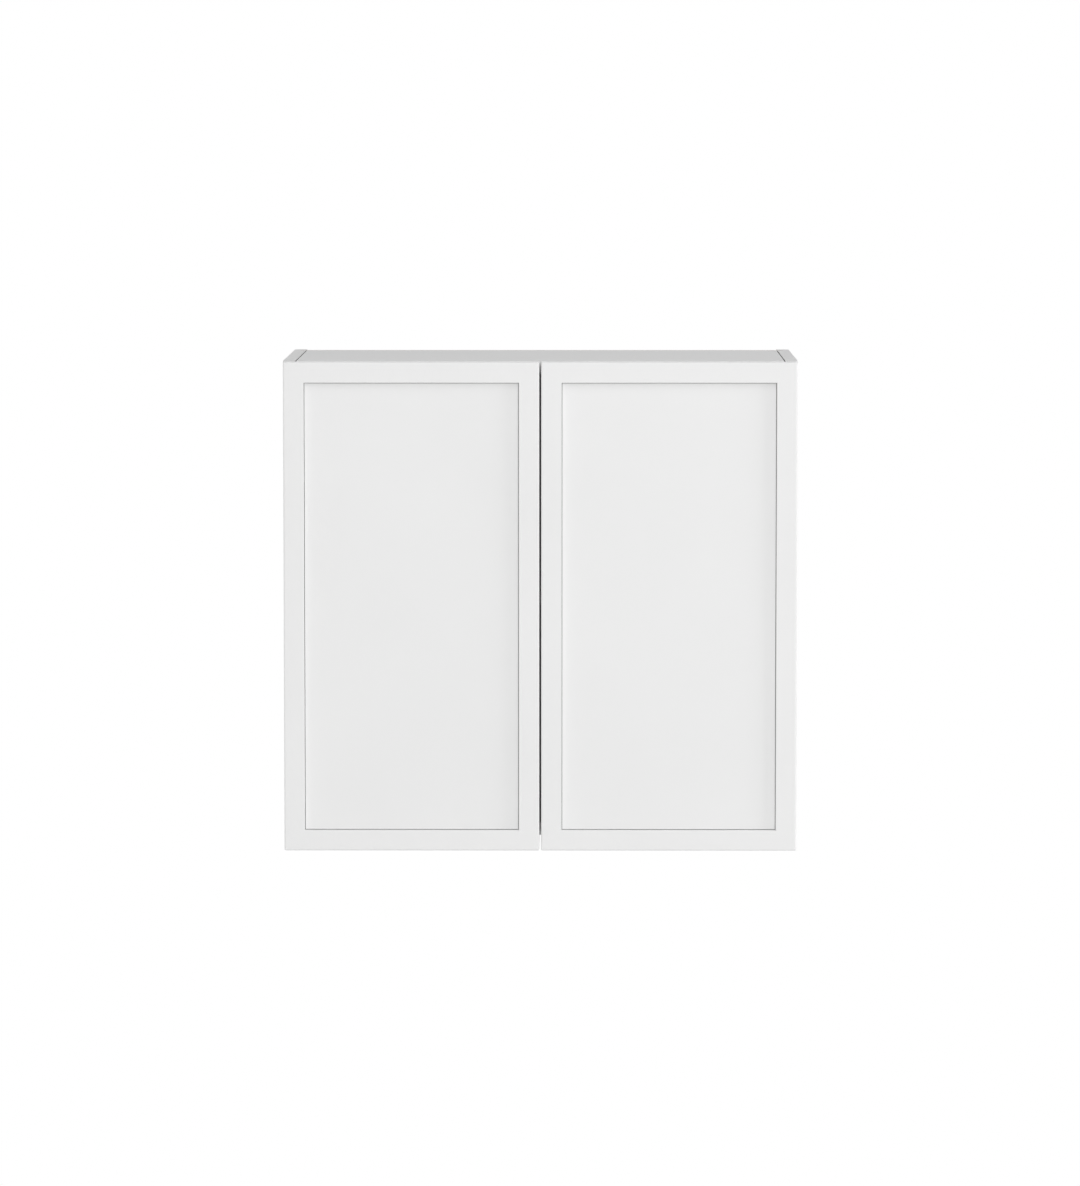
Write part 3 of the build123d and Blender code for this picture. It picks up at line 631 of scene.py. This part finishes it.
def paired_heights(low, high, radius, pitch):
    """Heights of two pairs of screws, one pair at each end of a box."""
    return [high - radius, high - radius - pitch, low + radius + pitch, low + radius]


for side, inward in (("left", 1), ("right", -1)):
    low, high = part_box(f"{side}_plate_screws")
    seat = seat_on_side(low, high, inward, plate_size.head_height)
    heights = paired_heights(low.z, high.z, plate_size.head_radius, plate_screw_pitch)
    spots = [Vector((seat, (low.y + high.y) / 2, z)) for z in heights]
    set_screws(f"{side}_plate_screws", plate_screw, spots, "Y", 90 * inward)

    low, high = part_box(f"{side}_arm_screws")
    seat = seat_on_side(low, high, inward, arm_size.head_height)
    radius = arm_size.head_radius
    spots = [Vector((seat, y, z)) for y in (low.y + radius, high.y - radius)
             for z in (low.z + radius, high.z - radius)]
    set_screws(f"{side}_arm_screws", arm_screw, spots, "Y", 90 * inward)

    low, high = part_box(f"{side}_cup_screws")
    seat = high.y - cup_size.head_height
    heights = paired_heights(low.z, high.z, cup_size.head_radius, cup_screw_pitch)
    spots = [Vector(((low.x + high.x) / 2, seat, z)) for z in heights]
    set_screws(f"{side}_cup_screws", cup_screw, spots, "X", -90)

for model in (plate_screw, arm_screw, cup_screw):
    bpy.data.objects.remove(model)

# %% [markdown]
# Silicone drops that quieten the doors
#
# Each door has two self-adhesive drops of silicone on its inside, which land on the edges of the top
# and the bottom panel. Cast silicone is clear with a slight haze, and its surface is half glossy
# from the mould, so most light goes through and a weak noise clouds its tint and its gloss.

# %% Clear silicone
def clear_silicone():
    haze_width = 2.0 * MM
    material, tree, shader, place = start_material("clear_silicone", IOR=1.41, Transmission_Weight=0.85)
    haze = add_node(tree, "ShaderNodeTexNoise", {"Vector": place, "Scale": 1 / haze_width, "Detail": 2.0})
    tint = add_node(tree, "ShaderNodeMix",
                    {0: haze.outputs[0], 6: linear("#DDE0E0"), 7: linear("#F2F3F3")}, data_type="RGBA")
    rough = add_node(tree, "ShaderNodeMapRange", {"Value": haze.outputs[0], "To Min": 0.15, "To Max": 0.35})
    link_surface(tree, shader, Base_Color=tint.outputs[2], Roughness=rough.outputs[0])
    return material


silicone = clear_silicone()
print("mixed", silicone.name)

# %% [markdown]
# The drops are cast lying on their flat side, so they have a low upright foot and a wide round
# shoulder. A flattened sphere would lack the foot, so a disc of their size has its upper rim
# rounded almost down to it. The foot goes a hair into the lacquer, because glue leaves no air
# between the two: light then passes straight from the clear silicone to the white door.

# %% Door bumpers
def silicone_drop(radius, height):
    """A drop that stands on the origin, with its foot just below it."""
    foot_height = 0.3 * MM
    glue_depth = 0.05 * MM
    full_height = height + glue_depth
    rim_sides = 48
    shoulder_steps = 8
    bpy.ops.object.select_all(action="DESELECT")
    bpy.ops.mesh.primitive_cylinder_add(vertices=rim_sides, radius=radius, depth=full_height,
                                        location=(0, 0, height - full_height / 2))
    bpy.ops.object.transform_apply()
    drop = bpy.context.object
    bpy.ops.object.mode_set(mode="EDIT")
    pick_faces(drop, looks_up)
    bpy.ops.mesh.bevel(offset=height - foot_height, segments=shoulder_steps, profile=round_profile)
    bpy.ops.object.mode_set(mode="OBJECT")
    bpy.ops.object.shade_smooth_by_angle(angle=crease_angle)
    drop.data.materials.append(silicone)
    return drop


for node in both("door_bumpers"):
    low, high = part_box(node)
    radius = (high.x - low.x) / 2
    drop = silicone_drop(radius, high.y - low.y)
    spots = [Vector(((low.x + high.x) / 2, low.y, z)) for z in (low.z + radius, high.z - radius)]
    set_copies(node, drop, spots, "X", -90, "drops")
    bpy.data.objects.remove(drop)

# %% [markdown]
# White surroundings
#
# A white product picture needs light that wraps the object and a background that stays white by
# itself. Turning the lamps up until the floor clips would also burn the cabinet out, so the world
# is white only where the camera, a mirror reflection or clear silicone looks at it, and dim as a
# light.

# %% White world
world_light = 0.5
white_light = (1, 1, 1, 1)


def add_seen_directly(tree):
    """One where a ray comes from the camera, a mirror reflection or through something clear."""
    path = add_node(tree, "ShaderNodeLightPath")
    mirrored = add_node(tree, "ShaderNodeMath",
                        {0: path.outputs["Is Camera Ray"], 1: path.outputs["Is Glossy Ray"]},
                        operation="MAXIMUM")
    return add_node(tree, "ShaderNodeMath",
                    {0: mirrored.outputs[0], 1: path.outputs["Is Transmission Ray"]}, operation="MAXIMUM")


world = bpy.data.worlds.new("white_studio")
world.use_nodes = True
bpy.context.scene.world = world
seen = add_seen_directly(world.node_tree)
strength = add_node(world.node_tree, "ShaderNodeMapRange",
                    {"Value": seen.outputs[0], "To Min": world_light, "To Max": 1.0})
background = world.node_tree.nodes["Background"]
background.inputs["Color"].default_value = white_light
world.node_tree.links.new(strength.outputs[0], background.inputs["Strength"])
print(world.name, "sheds", world_light, "of the light that it shows")

# %% [markdown]
# The floor does the same in part and keeps the rest of its shading for shadows. It lies well below
# the cabinet, as under a wall unit, and fades to the world's white at its rim, so that no edge of
# it shows from any side.

# %% Pale floor
floor_below_doors = 1.35
floor_radius = 4.5
floor_sides = 96


def matt_floor_paint():
    speckle_width = 4 * MM
    middle_glow = 0.85
    fade_starts = 1.5
    material, tree, shader, place = start_material("matt_floor_paint", Roughness=0.9)
    speckle = add_node(tree, "ShaderNodeTexNoise",
                       {"Vector": place, "Scale": 1 / speckle_width, "Detail": 2.0})
    paint = add_node(tree, "ShaderNodeMix",
                     {0: speckle.outputs[0], 6: linear("#EDEDEC"), 7: linear("#F3F3F2")}, data_type="RGBA")
    link_surface(tree, shader, Base_Color=paint.outputs[2])
    glow = add_node(tree, "ShaderNodeEmission", {"Color": white_light, "Strength": 1.0})
    from_middle = add_node(tree, "ShaderNodeVectorMath", {0: place}, operation="LENGTH")
    fade = add_node(tree, "ShaderNodeMapRange",
                    {"Value": from_middle.outputs["Value"], "From Min": fade_starts,
                     "From Max": floor_radius, "To Min": middle_glow, "To Max": 1.0},
                    interpolation_type="SMOOTHSTEP")
    share = add_node(tree, "ShaderNodeMath", {0: add_seen_directly(tree).outputs[0], 1: fade.outputs[0]},
                     operation="MULTIPLY")
    blend = add_node(tree, "ShaderNodeMixShader",
                     {0: share.outputs[0], 1: shader.outputs[0], 2: glow.outputs[0]})
    tree.links.new(blend.outputs[0], tree.nodes["Material Output"].inputs["Surface"])
    return material


floor_z = cad_box[0].z - floor_below_doors
bpy.ops.object.select_all(action="DESELECT")
bpy.ops.mesh.primitive_circle_add(vertices=floor_sides, radius=floor_radius, fill_type="NGON",
                                  location=(0, 0, floor_z))
floor = bpy.context.object
floor.name = "studio_floor"
floor.data.materials.append(matt_floor_paint())
print("floor lies", round(-floor_z, 2), "m below the wall screws")

# %% [markdown]
# Lamps
#
# Five softboxes light the cabinet. A front box does most of the work on the doors. A box high in
# front lays the short shadow under each top rail and lights the top, and a low one on the right
# draws the long soft shadow inside each right stile. Two boxes low behind fill the left side and
# the back, which the camera doesn't see here but other views do. Each box is set by the light that
# it sheds on a card held square to it at the cabinet, where one is enough to show white as white.

# %% Softboxes
cabinet_middle = (cad_box[0] + cad_box[1]) / 2


def softbox(name, turn_right, raise_up, distance, size, level):
    """A square lamp aimed at the cabinet, by angles in degrees and sizes in metres.

    The level is the light on a card that faces the lamp there.
    """
    lamp_data = bpy.data.lights.new(name, "AREA")
    lamp_data.shape = "SQUARE"
    lamp_data.size = size
    lamp_data.energy = level * pi ** 2 * distance ** 2
    lamp = bpy.data.objects.new(name, lamp_data)
    lamp.rotation_euler = (pi / 2 - radians(raise_up), 0, radians(turn_right))
    bpy.context.scene.collection.objects.link(lamp)
    bpy.context.view_layer.update()
    lamp.location = cabinet_middle + lamp.matrix_world.col[2].to_3d() * distance
    print(name, "at", [round(c, 2) for c in lamp.location])


softbox("front_softbox", turn_right=2, raise_up=12, distance=7.0, size=4.5, level=0.22)
softbox("high_softbox", turn_right=4, raise_up=52, distance=6.0, size=3.6, level=0.165)
softbox("right_softbox", turn_right=74, raise_up=8, distance=4.0, size=1.3, level=0.27)
softbox("left_fill", turn_right=-130, raise_up=-11, distance=4.0, size=2.4, level=0.17)
softbox("rear_fill", turn_right=165, raise_up=-11, distance=4.0, size=2.6, level=0.23)
